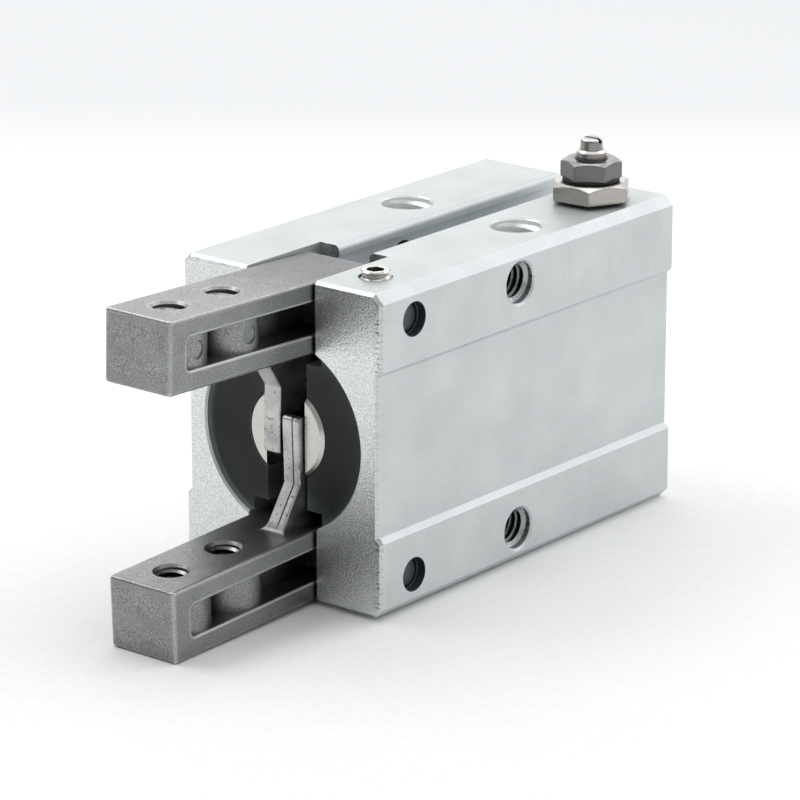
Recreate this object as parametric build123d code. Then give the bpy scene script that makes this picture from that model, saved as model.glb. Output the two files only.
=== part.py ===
from build123d import *
from math import cos, pi, radians, sin, sqrt, tan
import os

# Pneumatic angular gripper, in millimetres.
# The origin is the centre of the rear mounting face, on the cylinder's axis.
# +Z is up, the fingers point along -Y, and X runs across the gripper.
# A place along the gripper is given by its distance behind the front face.

# Housing: an aluminium extrusion, machined all over at its ends
body_width = 23.6
body_height = 30.6
body_length = 44.6
long_edge_chamfer = 0.9
end_edge_chamfer = 0.3
side_band_half_height = 8.1
side_band_depth = 0.5
side_band_slope = 0.5

# Sensor grooves along the top and the bottom
groove_neck_half = 1.8
groove_lip_radius = 0.6
groove_round_radius = 2.25
groove_round_depth = 2.3

# Slot and bore in the front, where the fingers and the guide sit
finger_side_clearance = 0.25
finger_slot_behind_pivot = 5.85
guide_bore_radius = 9.2
bore_mouth_chamfer = 0.2

# Fixed fits and running fits, as radial clearances
fixed_fit = 0.01
running_fit = 0.04

# Fingers: two equal steel castings, each with a lever that reaches the piston rod
# Their height is a share of half the housing's, so that both keep clear of the rod between them
finger_width = 7.7
finger_height_share = 0.4477
finger_inset = 0.25
finger_reach = 19.2
finger_tail_behind_pivot = 3.65
finger_edge_radius = 0.3
finger_web = 1.8
pocket_wall = 1.9
pocket_end_wall = 2.2
pocket_rear = 2.4
pocket_corner_radius = 0.6
pocket_rim_radius = 0.15
finger_hole_radius = 1.5
finger_hole_chamfer = 0.25
finger_hole_from_tip = 4.1
finger_hole_spacing = 7.0
finger_boss_inset = 0.45
ejector_mark_radius = 0.85
ejector_mark_depth = 0.2

# Levers of the fingers
lever_gap = 0.3
lever_thickness = 1.95
lever_front_setback = 0.3
lever_prong = 1.1
lever_bend_height = 4.3
lever_root_lead = 2.55
lever_overshoot = 2.1
lever_root_radius = 0.8
lever_edge_radius = 0.2
fork_tip_radius = 0.4
fork_clearance = 0.15
fork_depth_margin = 0.25

# Finger pivots
pivot_setback = 4.65
pivot_depth = 3.15
pivot_pin_radius = 1.5
pivot_pin_recess = 0.9
pivot_mouth_clearance = 0.1
pin_end_chamfer = 0.3
pin_flat_depth = 0.65
pin_flat_half_length = 1.8

# Angles of one finger from parallel, positive when open
rest_opening = 2.0
open_limit = 15.0
closed_limit = -5.0

# Set screws that hold the pivot pins, placed in the wall beside the finger slot
set_screw_radius = 1.5
set_screw_place_in_wall = 0.415
set_screw_stand = 0.7
set_screw_sink = 0.3
set_screw_chamfer = 0.25
set_screw_socket_flats = 1.6
set_screw_socket_depth = 1.3

# Lever guide: a black insert in the front bore
guide_setback = 0.8
guide_lever_clearance = 0.25
guide_slot_behind_pivot = 1.95
guide_finger_clearance = 1.2
guide_rod_clearance = 0.1

# Piston rod and its cross pin
rod_radius = 4.4
rod_nose = 1.55
rod_nose_chamfer = 0.32
rod_lever_clearance = 0.2
rod_slot_end_clearance = 1.55
cross_pin_radius = 1.0
cross_pin_inset = 0.3
cross_pin_chamfer = 0.15
spigot_radius = 2.5

# Piston stack
bore_radius = 8.0
piston_thickness = 3.6
piston_groove_width = 2.0
piston_groove_depth = 1.75
piston_edge_chamfer = 0.3
piston_seal_edge_radius = 0.3
magnet_thickness = 2.2
magnet_inset = 1.2
magnet_hub_wall = 1.7
holder_thickness = 2.4
holder_edge_chamfer = 0.3
piston_screw_radius = 1.5
piston_screw_length = 6.0
piston_screw_head_radius = 2.75
piston_screw_head_height = 1.4
piston_screw_seat = 0.8
piston_screw_socket_flats = 2.5
piston_screw_socket_depth = 0.9

# Bumpers and the room left beyond the stroke
bumper_thickness = 1.0
front_bumper_inset = 1.5
front_bumper_rod_gap = 0.5
rear_bumper_inset = 1.0
rear_bumper_screw_gap = 0.45
end_gap = 0.2

# Rod seal
rod_seal_width = 2.5
rod_seal_wall = 1.8
rod_seal_lip_depth = 1.1
rod_seal_lip_half = 0.4

# Rear end of the cylinder
rear_recess_step = 0.5
rear_recess_depth = 1.5
ring_wall = 0.7
ring_thickness = 0.8
ring_groove_width = 0.9
ring_groove_depth = 0.45
ring_band = 1.15
ring_gap_half_angle = 24.0
ring_lug_angle = 6.0
ring_lug_radius = 1.15
ring_lug_hole_radius = 0.55
ring_lug_inset = 0.35
cover_thickness = 3.4
cover_nose_length = 1.0
cover_nose_inset = 1.5
cover_groove_setback = 0.85
cover_groove_width = 1.7
cover_ring_wire_radius = 0.7
cover_pocket_radius = 4.6
cover_pocket_depth = 1.2

# Threaded holes of the housing, cut at the thread's major radius
side_hole_radius = 2.0
side_hole_setback = 20.3
side_hole_place_in_wall = 0.548
side_hole_chamfer = 0.2
side_thread_depth = 8.0
side_core_radius = 1.65
rear_hole_radius = 2.0
rear_hole_from_side = 3.8
rear_hole_from_top = 4.3
rear_hole_depth = 6.0
rear_hole_chamfer = 0.2
port_radius = 2.5
port_place_beside_groove = 0.4468
port_from_rear = 18.2
port_depth = 5.0
port_chamfer = 0.15
passage_radius = 0.6
rear_passage_radius = 0.5
passage_entry_angle = 45.0

# Needle valve beside the rear of the top face
valve_from_rear = 6.55
valve_shank_radius = 2.5
valve_shank_depth = 5.0
valve_cavity_radius = 1.6
valve_cavity_depth = 7.4
valve_seat_radius = 0.6
valve_seat_depth = 1.3
valve_gasket_band = 0.55
valve_gasket_thickness = 0.4
valve_hex_flats = 7.0
valve_hex_height = 1.7
valve_hex_turn = 3.6
valve_hex_chamfer_reach = 1.3
nut_ring_reach = 0.2
nut_ring_thickness = 0.3
ring_edge_share = 0.4
nut_flats = 5.1
nut_height = 1.8
nut_turn = 33.0
nut_chamfer_reach = 1.5
nut_countersink = 0.2
hex_chamfer_angle = 30.0
needle_thread_radius = 1.43
needle_thread_above_nut = 0.9
needle_neck_radius = 1.06
needle_neck_height = 1.1
needle_neck_chamfer = 0.35
needle_slot_width = 0.4
needle_slot_depth = 0.5
needle_thread_height = 0.23
needle_thread_depth = 2.2
needle_taper_length = 1.9
needle_tip_radius = 0.25
needle_tip_lift = 0.2
needle_groove_radius = 0.8
needle_groove_width = 0.9
needle_groove_height = 0.7

# Air passage drilled from the rear face, and its plug
feed_radius = 0.8
feed_from_top = 6.4
feed_past_port = 0.4
plug_radius = 1.1
plug_length = 1.6
plug_chamfer = 0.15

half_width = body_width / 2
half_height = body_height / 2
pivot_height = half_height - pivot_depth


def pin_travel(opening):
    """How far ahead of the pivots the cross pin stands at an opening angle, in degrees."""
    turned = radians(opening)
    return pin_lead / cos(turned) + pivot_height * tan(turned)


# Places worked out from the sizes above
fork_half = cross_pin_radius + fork_clearance
pin_lead = pivot_setback - lever_front_setback - lever_prong - fork_half
pin_setback = pivot_setback - pin_travel(rest_opening)
stroke_to_open = pin_travel(open_limit) - pin_travel(rest_opening)
stroke_to_close = pin_travel(rest_opening) - pin_travel(closed_limit)
cover_rear = body_length - rear_recess_depth - ring_wall - ring_groove_width
cover_front = cover_rear - cover_thickness
nose_front = cover_front - cover_nose_length
piston_rear = nose_front - bumper_thickness - end_gap - stroke_to_close
piston_length = piston_thickness + magnet_thickness + holder_thickness
piston_front = piston_rear - piston_length
chamber_front = piston_front - stroke_to_open - end_gap - bumper_thickness
finger_top = half_height - finger_inset
finger_height = finger_height_share * half_height
finger_bottom = finger_top - finger_height
finger_tail = pivot_setback + finger_tail_behind_pivot
finger_boss_radius = finger_width / 2 - finger_boss_inset
finger_slot_half = finger_width / 2 + finger_side_clearance
finger_slot_depth = pivot_setback + finger_slot_behind_pivot
lever_outer_x = -lever_gap / 2 - lever_thickness
guide_slot_half = guide_lever_clearance - lever_outer_x
guide_slot_depth = pivot_setback + guide_slot_behind_pivot
guide_notch_half_height = finger_bottom - guide_finger_clearance
set_screw_x = finger_slot_half + set_screw_place_in_wall * (half_width - finger_slot_half)
set_screw_tip = pivot_height + pivot_pin_radius - pin_flat_depth
rod_slot_half = rod_lever_clearance - lever_outer_x
rod_slot_behind_pin = fork_half + lever_prong + rod_slot_end_clearance
rod_seal_setback = (finger_slot_depth + chamber_front - rod_seal_width) / 2
rod_seal_outer_radius = rod_radius + rod_seal_wall
magnet_outer_radius = bore_radius - magnet_inset
magnet_inner_radius = spigot_radius + magnet_hub_wall
cover_nose_radius = bore_radius - cover_nose_inset
ring_groove_radius = bore_radius + ring_groove_depth
ring_inner_radius = ring_groove_radius - ring_band
side_hole_height = bore_radius + side_hole_place_in_wall * (half_height - bore_radius)
rear_hole_x = half_width - rear_hole_from_side
rear_hole_z = half_height - rear_hole_from_top
groove_edge_x = groove_neck_half + groove_lip_radius
port_x = groove_edge_x + port_place_beside_groove * (half_width - groove_edge_x)
port_setback = body_length - port_from_rear
valve_setback = body_length - valve_from_rear
feed_height = half_height - feed_from_top
feed_end_setback = port_setback + feed_past_port
needle_shaft_radius = needle_thread_radius - needle_thread_height
hex_base = half_height + valve_gasket_thickness
hex_top = hex_base + valve_hex_height
nut_base = hex_top + nut_ring_thickness
nut_top = nut_base + nut_height


def y_at(setback):
    """The y of a place at a distance behind the front face."""
    return setback - body_length


def cylinder_from(start, direction, radius, length):
    """A cylinder that starts at a point and runs along a direction."""
    ends = (Align.CENTER, Align.CENTER, Align.MIN)
    return Plane(origin=start, z_dir=direction) * Cylinder(radius, length, align=ends)


def drilled(start, direction, radius, depth, mouth=0.0):
    """A drilled hole to cut, from its mouth inwards, with a 45 degree chamfer at the mouth."""
    hole = cylinder_from(start, direction, radius, depth)
    if mouth > 0:
        ends = (Align.CENTER, Align.CENTER, Align.MIN)
        hole += Plane(origin=start, z_dir=direction) * Cone(radius + mouth, radius, mouth, align=ends)
    return hole


def drilled_between(start, end, radius):
    """A narrow drilling from one point to another."""
    run = Vector(*end) - Vector(*start)
    return cylinder_from(start, run.normalized(), radius, run.length)


def turned(radius, front, rear):
    """A disc or bar about the cylinder's axis, between two distances behind the front face."""
    return cylinder_from((0, y_at(front), 0), (0, 1, 0), radius, rear - front)


def ring(outer, inner, front, rear):
    """A flat ring about the cylinder's axis."""
    return turned(outer, front, rear) - turned(inner, front, rear)


def block(x_range, setback_range, z_range):
    """A box between two x, two distances behind the front face and two z."""
    size = [high - low for low, high in (x_range, setback_range, z_range)]
    centre = (sum(x_range) / 2, y_at(sum(setback_range) / 2), sum(z_range) / 2)
    return Pos(*centre) * Box(*size)


def outer_profile():
    """Half of the extrusion's outline, mirrored: chamfered corners and a shallow band on each side."""
    band_x = half_width - side_band_depth
    band_z = side_band_half_height - side_band_slope
    upper = [
        (half_width - long_edge_chamfer, half_height),
        (half_width, half_height - long_edge_chamfer),
        (half_width, side_band_half_height),
        (band_x, band_z),
    ]
    lower = [(x, -z) for x, z in reversed(upper)]
    right = upper + lower
    left = [(-x, z) for x, z in reversed(right)]
    return Polygon(*right, *left, align=None)


def groove_profile():
    """Section of a sensor groove: rounded lips, a narrow neck and a round bottom."""
    lip_z = half_height - groove_lip_radius
    round_z = half_height - groove_round_depth
    flare = Pos(0, lip_z) * Rectangle(2 * groove_edge_x, 2 * groove_lip_radius, align=(Align.CENTER, Align.MIN))
    for side in (-1, 1):
        flare -= Pos(side * groove_edge_x, lip_z) * Circle(groove_lip_radius)
    neck = Pos(0, round_z) * Rectangle(
        2 * groove_neck_half, half_height - round_z, align=(Align.CENTER, Align.MIN)
    )
    return flare + neck + Pos(0, round_z) * Circle(groove_round_radius)


def extrusion():
    """The bare extrusion with its two sensor grooves and its broken end edges."""
    bar = extrude(Plane.XZ * outer_profile(), amount=body_length, dir=(0, -1, 0))
    ends = bar.faces().filter_by(Axis.Y).edges()
    bar = chamfer(ends, end_edge_chamfer)
    groove = extrude(Plane.XZ * groove_profile(), amount=body_length, dir=(0, -1, 0))
    return bar - groove - groove.mirror(Plane.XY)


def front_cuts():
    """Bore for the guide, slot for the fingers, pin holes and the holes of the set screws."""
    front = (0, y_at(0), 0)
    cut = drilled(front, (0, 1, 0), guide_bore_radius, finger_slot_depth, bore_mouth_chamfer)
    cut += block(
        (-finger_slot_half, finger_slot_half), (0, finger_slot_depth), (-half_height, half_height)
    )
    for up in (-1, 1):
        pin_z = up * pivot_height
        cut += cylinder_from(
            (-half_width, y_at(pivot_setback), pin_z), (1, 0, 0), pivot_pin_radius + fixed_fit, body_width
        )
        for side in (-1, 1):
            mouth = (side * half_width, y_at(pivot_setback), pin_z)
            mouth_radius = pivot_pin_radius + pivot_mouth_clearance
            cut += cylinder_from(mouth, (-side, 0, 0), mouth_radius, pivot_pin_recess)
        screw_mouth = (set_screw_x, y_at(pivot_setback), up * half_height)
        cut += drilled(
            screw_mouth, (0, 0, -up), set_screw_radius + fixed_fit, half_height - pivot_height
        )
    return cut


def cylinder_cuts():
    """Cylinder bore, rear recess, groove of the retaining ring, rod hole and groove of the rod seal."""
    cut = turned(bore_radius, chamber_front, body_length)
    cut += turned(bore_radius + rear_recess_step, body_length - rear_recess_depth, body_length)
    cut += turned(ring_groove_radius, cover_rear, cover_rear + ring_groove_width)
    cut += turned(rod_radius + running_fit, finger_slot_depth, chamber_front)
    cut += turned(
        rod_seal_outer_radius + fixed_fit, rod_seal_setback, rod_seal_setback + rod_seal_width
    )
    return cut


def mounting_cuts():
    """Tapped holes in the sides, joined by their core drilling, and in the rear face."""
    cut = None
    for up in (-1, 1):
        for side in (-1, 1):
            mouth = (side * half_width, y_at(side_hole_setback), up * side_hole_height)
            hole = drilled(mouth, (-side, 0, 0), side_hole_radius, side_thread_depth, side_hole_chamfer)
            hole += cylinder_from(mouth, (-side, 0, 0), side_core_radius, half_width)
            cut = hole if cut is None else cut + hole
        rear_mouth = (-up * rear_hole_x, 0, up * rear_hole_z)
        cut += drilled(rear_mouth, (0, -1, 0), rear_hole_radius, rear_hole_depth, rear_hole_chamfer)
    return cut


def air_cuts():
    """Ports, valve bore and the drillings that join them to both ends of the cylinder."""
    port_floor = half_height - port_depth
    cut = None
    for side in (-1, 1):
        mouth = (side * port_x, y_at(port_setback), half_height)
        port = drilled(mouth, (0, 0, -1), port_radius, port_depth, port_chamfer)
        cut = port if cut is None else cut + port
    entry_radius = bore_radius - passage_radius
    entry_x = entry_radius * sin(radians(passage_entry_angle))
    entry_z = entry_radius * cos(radians(passage_entry_angle))
    front_entry = (-entry_x, y_at(chamber_front + bumper_thickness), entry_z)
    cut += drilled_between(
        (-port_x, y_at(port_setback - port_radius / 2), port_floor + passage_radius),
        front_entry,
        passage_radius,
    )
    valve_y = y_at(valve_setback)
    cut += cylinder_from(
        (port_x, valve_y, half_height), (0, 0, -1), valve_shank_radius + fixed_fit, valve_shank_depth
    )
    cut += cylinder_from(
        (port_x, valve_y, half_height), (0, 0, -1), valve_cavity_radius, valve_cavity_depth
    )
    seat_z = half_height - valve_cavity_depth
    cut += cylinder_from((port_x, valve_y, seat_z), (0, 0, -1), valve_seat_radius, valve_seat_depth)
    rear_entry = (entry_x, y_at(cover_front - passage_radius), entry_z)
    cut += drilled_between(
        (port_x, valve_y, seat_z - valve_seat_depth + passage_radius), rear_entry, rear_passage_radius
    )
    cut += cylinder_from(
        (port_x, 0, feed_height), (0, -1, 0), feed_radius, body_length - feed_end_setback
    )
    cut += cylinder_from((port_x, 0, feed_height), (0, -1, 0), plug_radius + fixed_fit, plug_length)
    cut += cylinder_from(
        (port_x, y_at(feed_end_setback), feed_height),
        (0, 0, 1),
        feed_radius,
        port_floor - feed_height + feed_radius,
    )
    return cut


def body_housing():
    return extrusion() - front_cuts() - cylinder_cuts() - mounting_cuts() - air_cuts()


def lever_guide():
    """Black insert: a plug with a slot for the two levers and flats under the fingers."""
    plug = turned(guide_bore_radius - fixed_fit, guide_setback, finger_slot_depth)
    plug -= turned(rod_radius + guide_rod_clearance, guide_setback, finger_slot_depth)
    plug -= block(
        (-guide_slot_half, guide_slot_half),
        (guide_setback, guide_slot_depth),
        (-guide_bore_radius, guide_bore_radius),
    )
    for up in (-1, 1):
        heights = sorted((up * guide_notch_half_height, up * guide_bore_radius))
        plug -= block(
            (-finger_slot_half, finger_slot_half), (guide_setback, finger_slot_depth), tuple(heights)
        )
    return plug


def finger_pockets():
    """Side pockets of a finger, with the bosses of its tapped holes left standing."""
    front = -finger_reach + pocket_end_wall
    length = pocket_rear - front
    height = finger_height - 2 * pocket_wall
    middle = (finger_bottom + finger_top) / 2
    outline = RectangleRounded(length, height, pocket_corner_radius)
    depth = (finger_width - finger_web) / 2
    cut = None
    for side in (-1, 1):
        floor = Plane(origin=(side * finger_web / 2, y_at((front + pocket_rear) / 2), middle),
                      x_dir=(0, 1, 0), z_dir=(side, 0, 0))
        pocket = extrude(floor * outline, amount=depth)
        cut = pocket if cut is None else cut + pocket
    for setback in finger_hole_setbacks():
        cut -= cylinder_from(
            (0, y_at(setback), finger_bottom), (0, 0, 1), finger_boss_radius, finger_height
        )
        mark_x = finger_boss_radius - ejector_mark_depth
        cut += cylinder_from(
            (mark_x, y_at(setback), middle), (1, 0, 0), ejector_mark_radius, finger_width / 2 - mark_x
        )
    return cut


def finger_hole_setbacks():
    """Distances of a finger's tapped holes behind the front face: negative, since they lie ahead."""
    first = -finger_reach + finger_hole_from_tip
    return (first, first + finger_hole_spacing)


def lever():
    """The lever of the upper finger: a bent plate that ends in an open fork round the cross pin."""
    lead_per_height = (lever_root_lead + lever_front_setback) / (finger_bottom - lever_bend_height)
    sunk = pocket_wall / 2
    rear = lever_front_setback + 2 * (lever_prong + fork_half)
    corners = [
        (y_at(-lever_root_lead - sunk * lead_per_height), finger_bottom + sunk),
        (y_at(lever_front_setback), lever_bend_height),
        (y_at(lever_front_setback), -lever_overshoot),
        (y_at(rear), -lever_overshoot),
        (y_at(rear), finger_bottom + sunk),
    ]
    fork_y = y_at(pivot_setback - pin_lead)
    side = Plane.YZ.offset(lever_outer_x) * Polygon(*corners, align=None)
    plate = extrude(side, amount=lever_thickness, dir=(1, 0, 0))
    plate -= cylinder_from((lever_outer_x, fork_y, fork_depth_margin), (1, 0, 0), fork_half, lever_thickness)
    plate -= block(
        (lever_outer_x, lever_outer_x + lever_thickness),
        (pivot_setback - pin_lead - fork_half, pivot_setback - pin_lead + fork_half),
        (-lever_overshoot, fork_depth_margin),
    )
    tips = [edge for edge in plate.edges().filter_by(Axis.X) if edge.center().Z < 1e-6 - lever_overshoot]
    return fillet(tips, fork_tip_radius)


def lever_front_edges(casting):
    """The long edges down the front of a lever, below the fillet of its root."""
    return [
        edge
        for edge in casting.edges()
        if abs(edge.bounding_box().size.X) < 1e-6
        and abs(edge.center().X) < lever_gap + lever_thickness
        and edge.center().Y < y_at(lever_front_setback) + 1e-6
        and edge.center().Z < finger_bottom - lever_root_radius
    ]


def pocket_rim_edges(casting):
    """The edges where the pockets of a finger open into its sides."""
    return [
        edge
        for edge in casting.edges()
        if abs(abs(edge.center().X) - finger_width / 2) < 1e-6
        and finger_bottom + pocket_wall - 1e-6 < edge.center().Z < finger_top - pocket_wall + 1e-6
        and y_at(pocket_end_wall - finger_reach) - 1e-6 < edge.center().Y < y_at(pocket_rear) + 1e-6
    ]


def upper_finger_parallel():
    """One finger with its lever, pockets and holes, at the angle where both fingers are parallel."""
    casting = block(
        (-finger_width / 2, finger_width / 2), (-finger_reach, finger_tail), (finger_bottom, finger_top)
    )
    casting = fillet(casting.edges(), finger_edge_radius)
    casting += lever()
    root_edges = [
        edge
        for edge in casting.edges()
        if abs(edge.center().Z - finger_bottom) < 1e-6
        and abs(edge.center().X) < lever_thickness + lever_gap
        and abs(edge.bounding_box().size.Z) < 1e-6
        and edge.center().Y > y_at(-lever_root_lead) - 1
        and edge.center().Y < y_at(finger_tail) - 2 * finger_edge_radius
    ]
    casting = fillet(root_edges, lever_root_radius)
    casting = fillet(lever_front_edges(casting), lever_edge_radius)
    casting -= finger_pockets()
    casting = fillet(pocket_rim_edges(casting), pocket_rim_radius)
    for setback in finger_hole_setbacks():
        for start, direction in ((finger_top, -1), (finger_bottom, 1)):
            casting -= drilled(
                (0, y_at(setback), start), (0, 0, direction), finger_hole_radius,
                finger_height / 2, finger_hole_chamfer
            )
    casting -= cylinder_from(
        (-finger_width / 2, y_at(pivot_setback), pivot_height),
        (1, 0, 0),
        pivot_pin_radius + running_fit,
        finger_width,
    )
    return casting


def upper_finger():
    """The upper finger, opened by its rest angle about its pivot."""
    pivot = Axis((0, y_at(pivot_setback), pivot_height), (-1, 0, 0))
    return upper_finger_parallel().rotate(pivot, rest_opening)


def lower_finger():
    """The same casting turned half a turn about the cylinder's axis."""
    return upper_finger().rotate(Axis.Y, 180)


def pivot_pin(up):
    """A pivot pin with chamfered ends and a flat under its set screw."""
    length = body_width - 2 * pivot_pin_recess
    centre = (-length / 2, y_at(pivot_setback), up * pivot_height)
    pin = cylinder_from(centre, (1, 0, 0), pivot_pin_radius, length)
    pin = chamfer(pin.edges().filter_by(GeomType.CIRCLE), pin_end_chamfer)
    heights = tuple(sorted((up * set_screw_tip, up * (pivot_height + pivot_pin_radius))))
    return pin - block(
        (set_screw_x - pin_flat_half_length, set_screw_x + pin_flat_half_length),
        (pivot_setback - pivot_pin_radius, pivot_setback + pivot_pin_radius),
        heights,
    )


def set_screw(up):
    """A headless screw with a hexagon socket: the upper one stands out of its face, the lower is sunk."""
    top = half_height + (set_screw_stand if up > 0 else -set_screw_sink)
    screw = cylinder_from(
        (set_screw_x, y_at(pivot_setback), up * top), (0, 0, -up), set_screw_radius, top - set_screw_tip
    )
    screw = chamfer(screw.edges().filter_by(GeomType.CIRCLE), set_screw_chamfer)
    mouth = Plane(origin=(set_screw_x, y_at(pivot_setback), up * top), z_dir=(0, 0, -up))
    socket = RegularPolygon(set_screw_socket_flats / 2, 6, major_radius=False)
    return screw - extrude(mouth * socket, amount=set_screw_socket_depth)


def piston_rod():
    """Rod with a slotted nose for the levers, a cross hole and a spigot for the piston."""
    nose = pin_setback - rod_nose
    rod = turned(rod_radius, nose, piston_front)
    rod = chamfer(rod.edges().filter_by(GeomType.CIRCLE).sort_by(Axis.Y)[0], rod_nose_chamfer)
    rod += turned(spigot_radius, piston_front, piston_front + piston_thickness + magnet_thickness)
    rod -= block(
        (-rod_slot_half, rod_slot_half), (nose, pin_setback + rod_slot_behind_pin),
        (-rod_radius, rod_radius)
    )
    rod -= cylinder_from(
        (-rod_radius, y_at(pin_setback), 0), (1, 0, 0), cross_pin_radius + fixed_fit, 2 * rod_radius
    )
    screw_end = screw_head_front() - piston_screw_length
    rod -= turned(piston_screw_radius + fixed_fit, screw_end - 1, piston_rear)
    return rod


def cross_pin():
    """The pin through the rod's nose that both lever forks straddle."""
    half_length = rod_radius - cross_pin_inset
    pin = cylinder_from((-half_length, y_at(pin_setback), 0), (1, 0, 0), cross_pin_radius, 2 * half_length)
    return chamfer(pin.edges().filter_by(GeomType.CIRCLE), cross_pin_chamfer)


def groove_front():
    """Front of the piston's seal groove, centred in the piston."""
    return piston_front + (piston_thickness - piston_groove_width) / 2


def piston():
    """Aluminium piston with a groove for its seal."""
    disc = turned(bore_radius - running_fit, piston_front, piston_front + piston_thickness)
    disc = chamfer(disc.edges().filter_by(GeomType.CIRCLE), piston_edge_chamfer)
    disc -= turned(spigot_radius + fixed_fit, piston_front, piston_front + piston_thickness)
    return disc - ring(
        bore_radius, bore_radius - piston_groove_depth, groove_front(), groove_front() + piston_groove_width
    )


def piston_seal():
    """Rubber ring that fills the piston's groove and runs on the bore."""
    outer = bore_radius - running_fit / 2
    inner = bore_radius - piston_groove_depth + fixed_fit
    seal = ring(outer, inner, groove_front() + fixed_fit, groove_front() + piston_groove_width - fixed_fit)
    outer_edges = [edge for edge in seal.edges().filter_by(GeomType.CIRCLE) if edge.radius > outer - 0.01]
    return fillet(outer_edges, piston_seal_edge_radius)


def magnet_ring():
    front = piston_front + piston_thickness
    return ring(magnet_outer_radius, magnet_inner_radius, front, front + magnet_thickness)


def screw_head_front():
    """Front of the piston screw's head, seated in the magnet holder."""
    return piston_front + piston_thickness + magnet_thickness + piston_screw_seat


def magnet_holder():
    """Rear half of the piston: a disc with a hub through the magnet and a seat for the screw."""
    hub_front = piston_front + piston_thickness
    disc_front = hub_front + magnet_thickness
    holder = turned(bore_radius - 2 * running_fit, disc_front, piston_rear)
    holder = chamfer(holder.edges().filter_by(GeomType.CIRCLE), holder_edge_chamfer)
    holder += turned(magnet_inner_radius - fixed_fit, hub_front, disc_front)
    holder -= turned(spigot_radius + fixed_fit, hub_front, disc_front)
    holder -= turned(piston_screw_radius + running_fit, disc_front, piston_rear)
    return holder - turned(piston_screw_head_radius + running_fit, screw_head_front(), piston_rear)


def piston_screw():
    """Socket-head screw that clamps the piston stack onto the rod."""
    front = screw_head_front()
    head = turned(piston_screw_head_radius, front, front + piston_screw_head_height)
    shank = turned(piston_screw_radius, front - piston_screw_length, front)
    mouth = Plane(origin=(0, y_at(front + piston_screw_head_height), 0), z_dir=(0, -1, 0))
    socket = RegularPolygon(piston_screw_socket_flats / 2, 6, major_radius=False)
    return head + shank - extrude(mouth * socket, amount=piston_screw_socket_depth)


def rod_seal():
    """U-cup that runs on the rod, its lips towards the cylinder."""
    rear = rod_seal_setback + rod_seal_width
    inner = rod_radius + running_fit / 2
    cup = ring(rod_seal_outer_radius, inner, rod_seal_setback, rear)
    middle = (rod_seal_outer_radius + inner) / 2
    return cup - ring(
        middle + rod_seal_lip_half, middle - rod_seal_lip_half, rear - rod_seal_lip_depth, rear
    )


def front_bumper():
    outer = bore_radius - front_bumper_inset
    return ring(outer, rod_radius + front_bumper_rod_gap, chamber_front, chamber_front + bumper_thickness)


def rear_bumper():
    outer = cover_nose_radius - rear_bumper_inset
    inner = piston_screw_head_radius + rear_bumper_screw_gap
    return ring(outer, inner, nose_front - bumper_thickness, nose_front)


def rear_cover():
    """Head cover: a flange with a ring groove, a nose and a shallow pocket in the back."""
    cover = turned(bore_radius - fixed_fit, cover_front, cover_rear)
    cover += turned(cover_nose_radius, nose_front, cover_front)
    groove = cover_front + cover_groove_setback
    inner = bore_radius - 2 * cover_ring_wire_radius
    cover -= ring(bore_radius, inner, groove, groove + cover_groove_width)
    return cover - turned(cover_pocket_radius, cover_rear - cover_pocket_depth, cover_rear)


def wire_ring(centre_radius, wire_radius, place):
    """An O-ring of round section about a plane's normal."""
    return place * Torus(centre_radius, wire_radius)


def cover_o_ring():
    middle = cover_front + cover_groove_setback + cover_groove_width / 2
    wire = cover_ring_wire_radius - fixed_fit
    return wire_ring(bore_radius - cover_ring_wire_radius, wire, Plane(origin=(0, y_at(middle), 0), z_dir=(0, 1, 0)))


def retaining_ring():
    """Internal retaining ring with a gap at the bottom and two lugs with plier holes."""
    front = cover_rear
    rear = front + ring_thickness
    band = ring(ring_groove_radius - fixed_fit, ring_inner_radius, front, rear)
    reach = 2 * ring_groove_radius
    spread = reach * tan(radians(ring_gap_half_angle))
    wedge = Polygon((0, 0), (spread, -reach), (-spread, -reach), align=None)
    band -= extrude(Plane.XZ.offset(-y_at(rear)) * wedge, amount=ring_thickness, dir=(0, -1, 0))
    for side in (-1, 1):
        angle = radians(-90 + side * (ring_gap_half_angle + ring_lug_angle))
        x = (ring_inner_radius - ring_lug_inset) * cos(angle)
        z = (ring_inner_radius - ring_lug_inset) * sin(angle)
        band += cylinder_from((x, y_at(front), z), (0, 1, 0), ring_lug_radius, ring_thickness)
        band -= cylinder_from((x, y_at(front), z), (0, 1, 0), ring_lug_hole_radius, ring_thickness)
    return band


def hexagon(flats, base, height, turn, chamfer_reach):
    """A hexagon nut form about the valve's axis, its upper corners chamfered."""
    corner = flats / sqrt(3)
    lost = (corner - flats / 2) * chamfer_reach
    rise = lost * tan(radians(hex_chamfer_angle))
    place = Pos(port_x, y_at(valve_setback), base)
    prism = extrude(place * Rot(0, 0, turn) * RegularPolygon(flats / 2, 6, major_radius=False), amount=height)
    envelope = place * Cylinder(corner, height, align=(Align.CENTER, Align.CENTER, Align.MIN))
    rim = envelope.edges().filter_by(GeomType.CIRCLE).sort_by(Axis.Z)[-1]
    return prism & chamfer(rim, length=rise, length2=lost)


def valve_cylinder(radius, low, high):
    """A cylinder about the valve's axis between two heights."""
    return cylinder_from((port_x, y_at(valve_setback), low), (0, 0, 1), radius, high - low)


def valve_body():
    """Hexagon body of the needle valve, screwed into the housing."""
    shank_end = half_height - valve_shank_depth
    body = hexagon(valve_hex_flats, hex_base, valve_hex_height, valve_hex_turn, valve_hex_chamfer_reach)
    body += valve_cylinder(valve_shank_radius, shank_end, hex_base)
    return body - valve_cylinder(needle_thread_radius + running_fit, shank_end, hex_top)


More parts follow.
